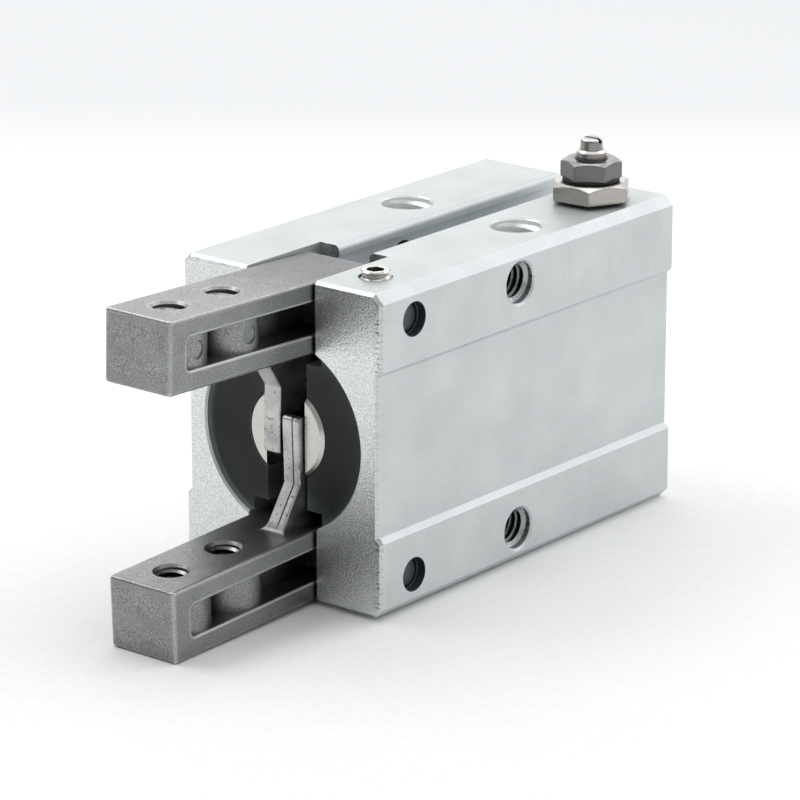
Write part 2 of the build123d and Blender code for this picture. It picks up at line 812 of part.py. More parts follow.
def valve_gasket():
    """Sealing ring under the valve's hexagon."""
    flat = valve_cylinder(valve_shank_radius + valve_gasket_band, half_height, hex_base)
    flat = fillet(flat.edges().filter_by(GeomType.CIRCLE), valve_gasket_thickness * ring_edge_share)
    return flat - valve_cylinder(valve_shank_radius + fixed_fit, half_height, hex_base)


def nut_o_ring():
    """Sealing ring between the valve's hexagon and the lock nut."""
    flat = valve_cylinder(nut_flats / 2 + nut_ring_reach, hex_top, nut_base)
    flat = fillet(flat.edges().filter_by(GeomType.CIRCLE), nut_ring_thickness * ring_edge_share)
    return flat - valve_cylinder(needle_thread_radius + running_fit, hex_top, nut_base)


def lock_nut():
    """Thin hexagon nut, its hole countersunk at the top."""
    nut = hexagon(nut_flats, nut_base, nut_height, nut_turn, nut_chamfer_reach)
    mouth = (port_x, y_at(valve_setback), nut_top)
    return nut - drilled(mouth, (0, 0, -1), needle_thread_radius + running_fit, nut_height, nut_countersink)


def needle_groove_base():
    """Height of the needle's ring groove."""
    return half_height - valve_shank_depth + needle_groove_height


def needle_screw():
    """Needle: threaded above, plain below, with a ring groove and a tapered point."""
    thread_top = nut_top + needle_thread_above_nut
    thread_base = half_height - needle_thread_depth
    tip = half_height - valve_cavity_depth + needle_tip_lift
    taper_top = tip + needle_taper_length
    needle = valve_cylinder(needle_thread_radius, thread_base, thread_top)
    needle = chamfer(needle.edges().filter_by(GeomType.CIRCLE), needle_thread_height)
    neck = valve_cylinder(needle_neck_radius, thread_top, thread_top + needle_neck_height)
    neck = fillet(neck.edges().filter_by(GeomType.CIRCLE).sort_by(Axis.Z)[-1], needle_neck_chamfer)
    needle += neck
    needle += valve_cylinder(needle_shaft_radius, taper_top, thread_base)
    ends = (Align.CENTER, Align.CENTER, Align.MIN)
    point = Cone(needle_tip_radius, needle_shaft_radius, needle_taper_length, align=ends)
    needle += Pos(port_x, y_at(valve_setback), tip) * point
    groove = needle_groove_base()
    needle -= valve_cylinder(needle_shaft_radius, groove, groove + needle_groove_width) - valve_cylinder(
        needle_groove_radius, groove, groove + needle_groove_width
    )
    slot_base = thread_top + needle_neck_height - needle_slot_depth
    slot = Box(2 * needle_neck_radius, needle_slot_width, needle_slot_depth,
               align=(Align.CENTER, Align.CENTER, Align.MIN))
    return needle - Pos(port_x, y_at(valve_setback), slot_base) * slot


def needle_seal():
    """Small O-ring in the needle's groove, which slides in the valve body's bore."""
    outer = needle_thread_radius + running_fit / 2
    inner = needle_groove_radius + fixed_fit
    wire = (outer - inner) / 2
    middle = needle_groove_base() + needle_groove_width / 2
    place = Plane(origin=(port_x, y_at(valve_setback), middle), z_dir=(0, 0, 1))
    return wire_ring(inner + wire, wire, place)


def passage_plug():
    """Plug pressed into the mouth of the drilled air passage."""
    plug = cylinder_from((port_x, 0, feed_height), (0, -1, 0), plug_radius, plug_length)
    return chamfer(plug.edges().filter_by(GeomType.CIRCLE), plug_chamfer)


def build():
    """Every sub-part under its node's name."""
    return {
        "body_housing": body_housing(),
        "lever_guide": lever_guide(),
        "upper_finger": upper_finger(),
        "lower_finger": lower_finger(),
        "upper_pivot_pin": pivot_pin(1),
        "lower_pivot_pin": pivot_pin(-1),
        "upper_set_screw": set_screw(1),
        "lower_set_screw": set_screw(-1),
        "piston_rod": piston_rod(),
        "cross_pin": cross_pin(),
        "piston": piston(),
        "piston_seal": piston_seal(),
        "magnet_ring": magnet_ring(),
        "magnet_holder": magnet_holder(),
        "piston_screw": piston_screw(),
        "rod_seal": rod_seal(),
        "front_bumper": front_bumper(),
        "rear_bumper": rear_bumper(),
        "rear_cover": rear_cover(),
        "cover_o_ring": cover_o_ring(),
        "retaining_ring": retaining_ring(),
        "valve_body": valve_body(),
        "valve_gasket": valve_gasket(),
        "nut_o_ring": nut_o_ring(),
        "lock_nut": lock_nut(),
        "needle_screw": needle_screw(),
        "needle_seal": needle_seal(),
        "passage_plug": passage_plug(),
    }


os.makedirs("parts", exist_ok=True)
for name, solid in build().items():
    solid.label = name
    export_step(solid, f"parts/{name}.step")
print("stroke to open", round(stroke_to_open, 3), "stroke to close", round(stroke_to_close, 3))
print("travel per radian", round((stroke_to_open + stroke_to_close) / radians(open_limit - closed_limit), 4))
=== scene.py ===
"""Pneumatic angular gripper: threads, edges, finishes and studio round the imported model, in metres."""
import bpy
import math
from mathutils import Matrix, Vector


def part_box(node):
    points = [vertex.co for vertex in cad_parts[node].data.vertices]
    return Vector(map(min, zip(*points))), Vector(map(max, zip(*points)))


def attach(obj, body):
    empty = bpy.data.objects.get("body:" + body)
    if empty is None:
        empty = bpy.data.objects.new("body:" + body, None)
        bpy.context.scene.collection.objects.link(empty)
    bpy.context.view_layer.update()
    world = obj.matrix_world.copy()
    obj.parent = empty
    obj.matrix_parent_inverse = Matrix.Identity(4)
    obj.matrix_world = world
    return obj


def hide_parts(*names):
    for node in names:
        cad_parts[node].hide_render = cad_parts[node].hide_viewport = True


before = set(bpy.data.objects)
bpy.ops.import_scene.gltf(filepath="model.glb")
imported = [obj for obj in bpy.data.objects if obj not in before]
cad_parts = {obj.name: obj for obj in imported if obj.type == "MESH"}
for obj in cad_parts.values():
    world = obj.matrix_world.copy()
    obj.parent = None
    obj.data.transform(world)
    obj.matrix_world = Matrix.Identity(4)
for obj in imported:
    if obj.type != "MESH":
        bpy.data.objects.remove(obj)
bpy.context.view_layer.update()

# Sizes in millimetres, and places: some worked out from the imported pieces, the rest given

MM = 0.001


def box_mm(node):
    """Lowest and highest corners of a node, in millimetres."""
    return [Vector(corner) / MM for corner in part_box(node)]


body_low, body_high = box_mm("body_housing")
BODY_LENGTH = body_high.y - body_low.y
HALF_WIDTH = body_high.x
HALF_HEIGHT = body_high.z
PIVOT_SETBACK = 4.65
PIVOT_HEIGHT = 12.15
REST_OPENING = 2.0
SET_SCREW_X = sum(corner.x for corner in box_mm("upper_set_screw")) / 2
PORT_X = 6.6
PORT_SETBACK = 26.4
SIDE_HOLE_SETBACK = 20.3
SIDE_HOLE_HEIGHT = 12.0
REAR_HOLE_X = 8.0
REAR_HOLE_HEIGHT = 11.0
FINGER_TOP = HALF_HEIGHT - 0.25
FINGER_BOTTOM = FINGER_TOP - 6.85
FINGER_HOLE_SETBACKS = (-15.1, -8.1)

# Metric threads: their radius and pitch, and a ridge's depth, foot and crest as shares of the pitch

M3 = (1.5, 0.5)
M4 = (2.0, 0.7)
M5 = (2.5, 0.8)
THREAD_DEPTH = 0.56
THREAD_FOOT = 0.94
THREAD_CREST = 0.14
TURN_STEPS = 40
RUN_OUT_STEPS = 10


def y_at(setback):
    """The y of a place at a distance behind the front face."""
    return setback - BODY_LENGTH


def hex_colour(code):
    """An sRGB hex value as a linear colour."""
    parts = [int(code[i:i + 2], 16) / 255 for i in (1, 3, 5)]
    linear = [p / 12.92 if p <= 0.04045 else ((p + 0.055) / 1.055) ** 2.4 for p in parts]
    return (*linear, 1)


# Materials


def add_node(owner, kind, inputs=None, stops=(), **settings):
    """Add a node to a material or the world, with its settings and links.

    An input is given by name, or by number where its name comes more than once. It is a value, a socket,
    or a node whose result is linked. Stops are the places and colours of a ramp.
    """
    made = owner.node_tree.nodes.new(kind)
    for key, value in settings.items():
        setattr(made, key, value)
    for count, (position, code) in enumerate(stops):
        made.color_ramp.elements[count].position = position
        made.color_ramp.elements[count].color = hex_colour(code)
    for key, value in (inputs or {}).items():
        fitting = [socket for socket in made.inputs if socket.enabled and socket.name == key]
        socket = fitting[0] if fitting else made.inputs[key]
        if isinstance(value, bpy.types.Node):
            value = next(output for output in value.outputs if output.enabled)
        if isinstance(value, bpy.types.NodeSocket):
            owner.node_tree.links.new(value, socket)
        else:
            socket.default_value = value
    return made


def new_material(name):
    """An empty material, and the places of its patterns: where a point lies on the object."""
    material = bpy.data.materials.new(name)
    material.use_nodes = True
    material.node_tree.nodes.clear()
    return material, add_node(material, "ShaderNodeTexCoord").outputs["Object"]


def with_surface(material, inputs):
    """Close a material with its shader and output."""
    shader = add_node(material, "ShaderNodeBsdfPrincipled", inputs)
    add_node(material, "ShaderNodeOutputMaterial", {"Surface": shader})
    return material


def per_mm(size_mm):
    """The scale of a noise whose grains have a real size."""
    return 1 / (size_mm * MM)


def outer_edges(material, reach_mm):
    """How much a place is an outer edge: seen from inside the metal, the next face is near."""
    near = add_node(material, "ShaderNodeAmbientOcclusion", {"Distance": reach_mm * MM},
                    samples=4, inside=True, only_local=True).outputs["AO"]
    return add_node(material, "ShaderNodeMapRange", {"Value": near, "From Min": 0.97, "From Max": 0.6})


def recesses(material, reach_mm, open_share=0.5, local=False):
    """How much a place lies in a hole or a corner, where shade falls: the share of painted shade, and in the
    black resin the share of painted fill light.
    """
    openness = add_node(material, "ShaderNodeAmbientOcclusion", {"Distance": reach_mm * MM},
                        samples=4, only_local=local).outputs["AO"]
    return add_node(material, "ShaderNodeMapRange",
                    {"Value": openness, "From Min": 0.1, "From Max": open_share,
                     "To Min": 1.0, "To Max": 0.0})


def facing(material):
    """The X, Y and Z of the direction that a face looks in."""
    normal = add_node(material, "ShaderNodeNewGeometry").outputs["True Normal"]
    return add_node(material, "ShaderNodeSeparateXYZ", {"Vector": normal}).outputs


def away_from(material, value, middle_mm, both_sides=False):
    """How far a value is from its middle, on one side of the object or on both."""
    if both_sides:
        value = add_node(material, "ShaderNodeMath", {0: value}, operation="ABSOLUTE")
    return add_node(material, "ShaderNodeMath", {0: value, 1: middle_mm * MM}, operation="SUBTRACT")


def round_stain(material, first, second, radius_mm):
    """How much a place lies round an axis, by its two distances from it."""
    place = add_node(material, "ShaderNodeCombineXYZ", {"X": first, "Y": second})
    reach = add_node(material, "ShaderNodeVectorMath", {0: place}, operation="LENGTH")
    inner, outer = (radius_mm - 0.02) * MM, (radius_mm + 0.02) * MM
    return add_node(material, "ShaderNodeMapRange",
                    {"Value": reach, "From Min": inner, "From Max": outer, "To Min": 1.0, "To Max": 0.0})


def metal(name, dark, light, roughness, grain_mm, depth_mm, patch_mm, rough_swing=0.06,
          edge=None, rounding_mm=0.0, recess=None, recess_mm=1.5, turned=None):
    """A metal with a fine surface grain, slow patches of tone and uneven gloss.

    Where their colours are given, outer edges get a painted highlight, recesses get painted shade, and
    chamfers that face up get a painted highlight.
    """
    material, place = new_material(name)
    fine = add_node(material, "ShaderNodeTexNoise", {"Vector": place, "Scale": per_mm(grain_mm)})
    patches = add_node(material, "ShaderNodeTexNoise",
                       {"Vector": place, "Scale": per_mm(patch_mm), "Detail": 3.0})
    tone = add_node(material, "ShaderNodeMix", {"Factor": 0.55, "A": patches, "B": fine})
    colour = add_node(material, "ShaderNodeValToRGB", {"Fac": tone}, ((0.3, dark), (0.7, light)))
    # Painted highlight: chamfers that face up are made brighter.
    if turned:
        up = facing(material)["Z"]
        leaning = add_node(material, "ShaderNodeMapRange", {"Value": up, "From Min": 0.3, "From Max": 0.5})
        not_level = add_node(material, "ShaderNodeMapRange",
                             {"Value": up, "From Min": 0.95, "From Max": 0.99, "To Min": 1.0, "To Max": 0.0})
        slanted = add_node(material, "ShaderNodeMath", {0: leaning, 1: not_level}, operation="MULTIPLY")
        colour = add_node(material, "ShaderNodeMix",
                          {"Factor": slanted, "A": colour, "B": hex_colour(turned)}, data_type="RGBA")
    # Painted shade: holes and corners are darkened towards the recess colour.
    if recess:
        painted_shade_share = recesses(material, recess_mm)
        colour = add_node(material, "ShaderNodeMix",
                          {"Factor": painted_shade_share, "A": colour, "B": hex_colour(recess)}, data_type="RGBA")
    # Painted highlight: outer edges are brightened towards the edge colour.
    if edge:
        painted_edge_highlight = outer_edges(material, rounding_mm)
        colour = add_node(material, "ShaderNodeMix",
                          {"Factor": painted_edge_highlight, "A": colour, "B": hex_colour(edge)}, data_type="RGBA")
    rough = add_node(material, "ShaderNodeMapRange",
                     {"Value": patches, "From Min": 0.3, "From Max": 0.7,
                      "To Min": roughness - rough_swing, "To Max": roughness + rough_swing})
    relief = {"Height": fine, "Distance": depth_mm * MM}
    if rounding_mm:
        relief["Normal"] = add_node(material, "ShaderNodeBevel", {"Radius": rounding_mm * MM}, samples=4)
    normal = add_node(material, "ShaderNodeBump", relief)
    return with_surface(material, {"Base Color": colour, "Metallic": 1.0, "Roughness": rough,
                                   "Normal": normal})


def blasted_anodised_aluminium():
    """Extruded aluminium, bead blasted and clear anodised: a pale neutral grey with a sparkling grain.

    The blasting marks are drawn at 0.12 mm, half as wide again as they are, so that they show. The front
    was milled before, so it is coarser, 0.15 mm, with nicks along its right edge and at its top corner, and
    it is coloured lighter than the other faces as painted light. The walls of the holes of the pins and of
    the set screws are painted dark as shade, and the air ports, cut bare, are coloured near white inside as
    painted light. Holes and corners get painted shade, and outer edges a painted highlight.
    """
    material, place = new_material("Blasted anodised aluminium")
    parts = add_node(material, "ShaderNodeSeparateXYZ", {"Vector": place}).outputs
    fine = add_node(material, "ShaderNodeTexNoise", {"Vector": place, "Scale": per_mm(0.12)})
    pitted = add_node(material, "ShaderNodeTexNoise",
                      {"Vector": place, "Scale": per_mm(0.15), "Roughness": 0.6})
    patches = add_node(material, "ShaderNodeTexNoise", {"Vector": place, "Scale": per_mm(5.0), "Detail": 3.0})
    milled = add_node(material, "ShaderNodeMapRange",
                      {"Value": facing(material)["Y"], "From Min": -0.6, "From Max": -0.95})
    tone = add_node(material, "ShaderNodeMix", {"Factor": 0.5, "A": patches, "B": fine})
    even = add_node(material, "ShaderNodeValToRGB", {"Fac": tone}, ((0.3, "#C4C9CA"), (0.7, "#D8DCDD")))
    # Painted light: the milled front is coloured lighter than the other faces.
    milled_painted_lighter = add_node(material, "ShaderNodeValToRGB", {"Fac": pitted}, ((0.36, "#CBCECE"), (0.6, "#EBEDED")))
    colour = add_node(material, "ShaderNodeMix", {"Factor": milled, "A": even, "B": milled_painted_lighter}, data_type="RGBA")

    near_side = add_node(material, "ShaderNodeMapRange",
                         {"Value": parts["X"], "From Min": (HALF_WIDTH - 1.1) * MM,
                          "From Max": (HALF_WIDTH - 0.4) * MM})
    near_top = add_node(material, "ShaderNodeMapRange",
                        {"Value": parts["Z"], "From Min": (HALF_HEIGHT - 0.7) * MM,
                         "From Max": HALF_HEIGHT * MM, "To Max": 0.8})
    near_edge = add_node(material, "ShaderNodeMath", {0: near_side, 1: near_top}, operation="MAXIMUM")
    near_edge = add_node(material, "ShaderNodeMath", {0: near_edge, 1: milled}, operation="MULTIPLY")
    drawn_out = add_node(material, "ShaderNodeMapping", {"Vector": place, "Scale": (0.3, 0.3, 1)})
    ticks = add_node(material, "ShaderNodeTexNoise", {"Vector": drawn_out, "Scale": per_mm(0.22)})
    ticks = add_node(material, "ShaderNodeMapRange", {"Value": ticks, "From Min": 0.52, "From Max": 0.56})
    nicks = add_node(material, "ShaderNodeMath", {0: ticks, 1: near_edge}, operation="MULTIPLY")
    nick_tone = add_node(material, "ShaderNodeMix",
                         {"Factor": near_top, "A": hex_colour("#8A8D8E"), "B": hex_colour("#2A2C2D")},
                         data_type="RGBA")
    colour = add_node(material, "ShaderNodeMix",
                      {"Factor": nicks, "A": colour, "B": nick_tone}, data_type="RGBA")

    # Painted shade: the walls of the pin and set screw holes are darkened.
    behind_front = away_from(material, parts["Y"], y_at(PIVOT_SETBACK))
    above_pivot = away_from(material, parts["Z"], PIVOT_HEIGHT, True)
    pin_hole = round_stain(material, behind_front, above_pivot, 1.65)
    beside_screw = away_from(material, parts["X"], SET_SCREW_X)
    screw_hole = round_stain(material, behind_front, beside_screw, 1.6)
    painted_hole_shade = add_node(material, "ShaderNodeMath", {0: pin_hole, 1: screw_hole}, operation="MAXIMUM")
    # Painted light: the air ports, cut bare, are coloured near white inside.
    behind_port = away_from(material, parts["Y"], y_at(PORT_SETBACK))
    beside_port = away_from(material, parts["X"], PORT_X, True)
    port = round_stain(material, behind_port, beside_port, 2.55)
    # Painted shade in holes and corners and a painted highlight on outer edges, then the ports' painted light
    # and the holes' painted shade.
    for share, code in (
        (recesses(material, 4.5, 0.3, True), "#1A1C1D"),
        (outer_edges(material, 0.14), "#F1F3F3"),
        (port, "#F2F4F4"),
        (painted_hole_shade, "#64696C"),
    ):
        colour = add_node(material, "ShaderNodeMix",
                          {"Factor": share, "A": colour, "B": hex_colour(code)}, data_type="RGBA")

    rough = add_node(material, "ShaderNodeMapRange", {"Value": milled, "To Min": 0.54, "To Max": 0.17})
    height = add_node(material, "ShaderNodeMix", {"Factor": milled, "A": fine, "B": pitted})
    strength = add_node(material, "ShaderNodeMapRange", {"Value": milled, "To Min": 0.25})
    rounded = add_node(material, "ShaderNodeBevel", {"Radius": 0.08 * MM}, samples=4)
    normal = add_node(material, "ShaderNodeBump",
                      {"Strength": strength, "Distance": 0.05 * MM, "Height": height, "Normal": rounded})
    return with_surface(material, {"Base Color": colour, "Metallic": 0.88, "Roughness": rough,
                                   "Normal": normal})


def cast_finger_steel():
    """Investment-cast steel, tumbled, its flat sides ground: mid grey, fine grained, with upright scratches.

    The thin levers keep their lighter cast skin with a few dark pits, and the mould's parting line runs
    down the lower one. The fingers are darker towards their pivots near the body, as painted shade; their
    holes and corners get painted shade, and their long edges a painted highlight.
    """
    material, place = new_material("Tumbled cast steel")
    parts = add_node(material, "ShaderNodeSeparateXYZ", {"Vector": place}).outputs
    from_middle = away_from(material, parts["X"], 0, True)
    from_level = away_from(material, parts["Z"], 0, True)
    fine = add_node(material, "ShaderNodeTexNoise", {"Vector": place, "Scale": per_mm(0.11)})
    drawn_out = add_node(material, "ShaderNodeMapping", {"Vector": place, "Scale": (1, 1, 0.15)})
    scratches = add_node(material, "ShaderNodeTexNoise", {"Vector": drawn_out, "Scale": per_mm(0.16)})
    patches = add_node(material, "ShaderNodeTexNoise", {"Vector": place, "Scale": per_mm(2.2), "Detail": 4.0})
    marks = add_node(material, "ShaderNodeMix", {"Factor": 0.13, "A": fine, "B": scratches})
    tone = add_node(material, "ShaderNodeMix", {"Factor": 0.86, "A": patches, "B": marks})
    colour = add_node(material, "ShaderNodeValToRGB", {"Fac": tone}, ((0.36, "#6E6F71"), (0.64, "#A8AAAB")))
    # Painted shade: darker towards the pivots, near the body.
    painted_shade_near_body = add_node(material, "ShaderNodeMapRange",
                     {"Value": parts["Y"], "From Min": y_at(-9.0) * MM, "From Max": y_at(2.0) * MM,
                      "To Max": 0.6})
    colour = add_node(material, "ShaderNodeMix",
                      {"Factor": painted_shade_near_body, "A": colour, "B": hex_colour("#4B4D4F")}, data_type="RGBA")

    on_lever = add_node(material, "ShaderNodeMapRange",
                        {"Value": from_level, "From Min": (FINGER_BOTTOM - 0.6) * MM,
                         "From Max": (FINGER_BOTTOM + 0.1) * MM, "To Min": 1.0, "To Max": 0.0})
    skin_tone = add_node(material, "ShaderNodeMix", {"Factor": 0.5, "A": patches, "B": fine})
    skin = add_node(material, "ShaderNodeValToRGB", {"Fac": skin_tone},
                    ((0.36, "#A3A5A4"), (0.64, "#D4D5D3")))
    specks = add_node(material, "ShaderNodeTexNoise",
                      {"Vector": place, "Scale": per_mm(0.4), "Detail": 3.0, "Roughness": 0.6})
    pits = add_node(material, "ShaderNodeMapRange",
                    {"Value": specks, "From Min": 0.63, "From Max": 0.67, "To Max": 0.8})
    skin = add_node(material, "ShaderNodeMix",
                    {"Factor": pits, "A": skin, "B": hex_colour("#555554")}, data_type="RGBA")
    colour = add_node(material, "ShaderNodeMix",
                      {"Factor": on_lever, "A": colour, "B": skin}, data_type="RGBA")

    beside_line = away_from(material, away_from(material, parts["X"], 1.4), 0, True)
    on_line = add_node(material, "ShaderNodeMapRange",
                       {"Value": beside_line, "From Min": 0.04 * MM, "From Max": 0.1 * MM,
                        "To Min": 1.0, "To Max": 0.0})
    at_front = add_node(material, "ShaderNodeMapRange",
                        {"Value": parts["Y"], "From Min": y_at(0.7) * MM, "From Max": y_at(0.9) * MM,
                         "To Min": 1.0, "To Max": 0.0})
    lever_front = add_node(material, "ShaderNodeMath", {0: at_front, 1: on_lever}, operation="MULTIPLY")
    parting = add_node(material, "ShaderNodeMath", {0: on_line, 1: lever_front}, operation="MULTIPLY")

    at_side = add_node(material, "ShaderNodeMapRange",
                       {"Value": from_middle, "From Min": 3.45 * MM, "From Max": 3.6 * MM})
    at_face = add_node(material, "ShaderNodeMapRange",
                       {"Value": from_level, "From Min": 13.6 * MM, "From Max": 14.2 * MM})
    long_edge = add_node(material, "ShaderNodeMath", {0: at_side, 1: at_face}, operation="MAXIMUM")
    painted_edge_highlight = add_node(material, "ShaderNodeMath",
                      {0: outer_edges(material, 0.3), 1: long_edge}, operation="MULTIPLY")
    # Painted shade in holes and corners, the real parting line, and a painted highlight on the long edges.
    for share, code in (
        (recesses(material, 3.0, 0.42), "#363738"),
        (parting, "#2A2A2A"),
        (painted_edge_highlight, "#F2F3F3"),
    ):
        colour = add_node(material, "ShaderNodeMix",
                          {"Factor": share, "A": colour, "B": hex_colour(code)}, data_type="RGBA")

    rough = add_node(material, "ShaderNodeMapRange",
                     {"Value": tone, "From Min": 0.36, "From Max": 0.64, "To Min": 0.44, "To Max": 0.32})
    rounded = add_node(material, "ShaderNodeBevel", {"Radius": 0.1 * MM}, samples=4)
    grained = add_node(material, "ShaderNodeBump", {"Distance": 0.02 * MM, "Height": fine, "Normal": rounded})
    sunk_line = add_node(material, "ShaderNodeBump",
                         {"Distance": 0.06 * MM, "Height": parting, "Normal": grained}, invert=True)
    return with_surface(material, {"Base Color": colour, "Metallic": 1.0, "Roughness": rough,
                                   "Normal": sunk_line})


def ground_rod_steel():
    """Ground and polished steel: bright and slightly warm, with an even fine grain and painted shade in its
    recesses.
    """
    return metal("Ground rod steel", "#BEBBB6", "#D8D6D1", 0.3, 0.12, 0.004, 2.0, 0.05, recess="#4A4946")


def black_oxide_steel():
    """Steel, blackened in a hot bath: dark blue grey with a dull oily gloss."""
    return metal("Black oxide steel", "#54595C", "#6B7073", 0.5, 0.2, 0.006, 1.5)


def machined_black_resin():
    """Moulded black resin, its faces machined: deep satin black, its slot and corners lightened as painted
    fill light.
    """
    material, place = new_material("Machined black resin")
    fine = add_node(material, "ShaderNodeTexNoise", {"Vector": place, "Scale": per_mm(0.12)})
    patches = add_node(material, "ShaderNodeTexNoise", {"Vector": place, "Scale": per_mm(3.0), "Detail": 3.0})
    tone = add_node(material, "ShaderNodeMix", {"Factor": 0.5, "A": fine, "B": patches})
    colour = add_node(material, "ShaderNodeValToRGB", {"Fac": tone}, ((0.3, "#0A0D0F"), (0.7, "#121618")))
    # Painted fill light: slot and corners are lightened where little light reaches.
    painted_fill_light = recesses(material, 3.0, 0.85)
    colour = add_node(material, "ShaderNodeMix",
                      {"Factor": painted_fill_light, "A": colour, "B": hex_colour("#8A9194")}, data_type="RGBA")
    rough = add_node(material, "ShaderNodeMapRange",
                     {"Value": patches, "From Min": 0.3, "From Max": 0.7, "To Min": 0.36, "To Max": 0.5})
    normal = add_node(material, "ShaderNodeBump", {"Distance": 0.003 * MM, "Height": fine})
    return with_surface(material, {"Base Color": colour, "Roughness": rough, "Specular IOR Level": 0.3,
                                   "Normal": normal})


def bright_nickel():
    """Steel with bright nickel plate: near neutral, glossy, with a painted highlight on its edges and painted
    shade in its recesses.
    """
    return metal("Bright nickel plate", "#A29E99", "#CBC8C3", 0.2, 0.1, 0.003, 1.2,
                 edge="#F4F2F0", rounding_mm=0.12, recess="#14120F", recess_mm=0.7)


def dull_nickel():
    """Brass with dull nickel plate: mid grey with a warm cast, a painted highlight on chamfers that face up
    and painted shade in its recesses.
    """
    return metal("Dull nickel plate", "#A7A39E", "#B9B5B0", 0.26, 0.15, 0.0015, 2.5, 0.03,
                 rounding_mm=0.3, recess="#4A4744", turned="#C6C3BF")


def dark_nickel():
    """Steel nut with dark zinc nickel plate: deep grey, with a painted highlight on chamfers that face up and
    painted shade in its recesses.
    """
    return metal("Dark zinc plate", "#6A696B", "#7C7B7E", 0.28, 0.15, 0.0015, 2.5, 0.03,
                 rounding_mm=0.2, recess="#2E2D2E", recess_mm=0.8, turned="#A5A3A1")


def gunmetal_steel():
    """Turned steel, darkened by its plate: glossy gunmetal, its rims that face up bright with a painted
    highlight, and painted shade in its recesses.
    """
    return metal("Turned gunmetal steel", "#7E7A78", "#9C9895", 0.24, 0.15, 0.0015, 1.0, 0.03,
                 rounding_mm=0.15, recess="#2E2C2B", recess_mm=0.8, turned="#E4E2E0")


def tapped_aluminium():
    """Thread flanks cut after the coating: bare bright aluminium, painted dark as shade where the light ends.
    """
    return metal("Tapped aluminium", "#8E9294", "#B9BDBF", 0.26, 0.15, 0.003, 1.0,
                 recess="#121314", recess_mm=4.5)


def tapped_steel():
    """Thread flanks cut in the finger steel: bare and bright, painted dark as shade where the light ends."""
    return metal("Tapped steel", "#77797A", "#A2A4A6", 0.28, 0.15, 0.003, 1.0,
                 recess="#0E0F10", recess_mm=3.6)


def turned_alloy():
    """Turned aluminium, not coated: light and even."""
    return metal("Turned aluminium", "#B4B8BA", "#D0D4D6", 0.3, 0.15, 0.004, 2.5, 0.05)


def ferrite_magnet():
    """Pressed ferrite: dull dark grey."""
    return metal("Pressed ferrite", "#26272A", "#3A3B3E", 0.6, 0.2, 0.01, 2.0, 0.05)


def seal_rubber():
    """Nitrile rubber, moulded: matte black."""
    material, place = new_material("Moulded nitrile rubber")
    fine = add_node(material, "ShaderNodeTexNoise", {"Vector": place, "Scale": per_mm(0.15)})
    colour = add_node(material, "ShaderNodeValToRGB", {"Fac": fine}, ((0.3, "#0F0F10"), (0.7, "#1C1C1D")))
    normal = add_node(material, "ShaderNodeBump", {"Distance": 0.005 * MM, "Height": fine})
    return with_surface(material, {"Base Color": colour, "Roughness": 0.62, "Normal": normal})


def bumper_rubber():
    """Polyurethane, cast: brown and smooth."""
    material, place = new_material("Cast polyurethane")
    fine = add_node(material, "ShaderNodeTexNoise", {"Vector": place, "Scale": per_mm(0.3)})
    colour = add_node(material, "ShaderNodeValToRGB", {"Fac": fine}, ((0.3, "#3B2410"), (0.7, "#55341A")))
    return with_surface(material, {"Base Color": colour, "Roughness": 0.45})


FINISHES = {
    "anodised": blasted_anodised_aluminium(),
    "finger": cast_finger_steel(),
    "rod": ground_rod_steel(),
    "black": black_oxide_steel(),
    "guide": machined_black_resin(),
    "bright": bright_nickel(),
    "dull": dull_nickel(),
    "nut": dark_nickel(),
    "needle": gunmetal_steel(),
    "tapped": tapped_aluminium(),
    "tapped steel": tapped_steel(),
    "alloy": turned_alloy(),
    "rubber": seal_rubber(),
    "bumper": bumper_rubber(),
    "magnet": ferrite_magnet(),
}

NODE_FINISHES = {
    "anodised": ("body_housing",),
    "finger": ("upper_finger", "lower_finger"),
    "rod": ("piston_rod", "cross_pin"),
    "black": ("upper_pivot_pin", "lower_pivot_pin", "piston_screw", "retaining_ring"),
    "guide": ("lever_guide",),
    "bright": ("upper_set_screw", "lower_set_screw"),
    "dull": ("valve_body",),
    "needle": ("needle_screw",),
    "nut": ("lock_nut",),
    "alloy": ("piston", "magnet_holder", "rear_cover", "passage_plug"),
    "rubber": ("piston_seal", "rod_seal", "cover_o_ring", "valve_gasket", "nut_o_ring", "needle_seal"),
    "bumper": ("front_bumper", "rear_bumper"),
    "magnet": ("magnet_ring",),
}

for finish, nodes in NODE_FINISHES.items():
    for node in nodes:
        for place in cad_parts[node].material_slots:
            place.material = FINISHES[finish]

# Threads: one ridge each, with a narrow crest, wound along its hole or screw


def only(piece):
    """Select one piece and nothing else."""
    bpy.ops.object.select_all(action="DESELECT")
    piece.select_set(True)
    bpy.context.view_layer.objects.active = piece


def pick_points(piece, wanted):
    """In edit mode, select the points of a piece that pass a test."""
    bpy.ops.object.mode_set(mode="EDIT")
    bpy.ops.mesh.select_mode(type="VERT")
    bpy.ops.mesh.select_all(action="DESELECT")
    bpy.ops.object.mode_set(mode="OBJECT")
    for vertex in piece.data.vertices:
        vertex.select = wanted(vertex)
    bpy.ops.object.mode_set(mode="EDIT")


def place_along(piece, mouth, direction):
    """Stand a piece's Z along a direction at a place, and keep that in its mesh."""
    piece.rotation_euler = Vector(direction).to_track_quat("Z", "Y").to_euler()
    piece.location = Vector(mouth) * MM
    only(piece)
    bpy.ops.object.transform_apply(location=True, rotation=True, scale=True)


def finished(piece, name, finish, body):
    """Name a piece, give it its finish and smooth faces, and let it ride."""
    piece.name = name
    piece.data.materials.clear()
    piece.data.materials.append(FINISHES[finish])
    only(piece)
    bpy.ops.object.shade_smooth_by_angle(angle=math.radians(35))
    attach(piece, body)


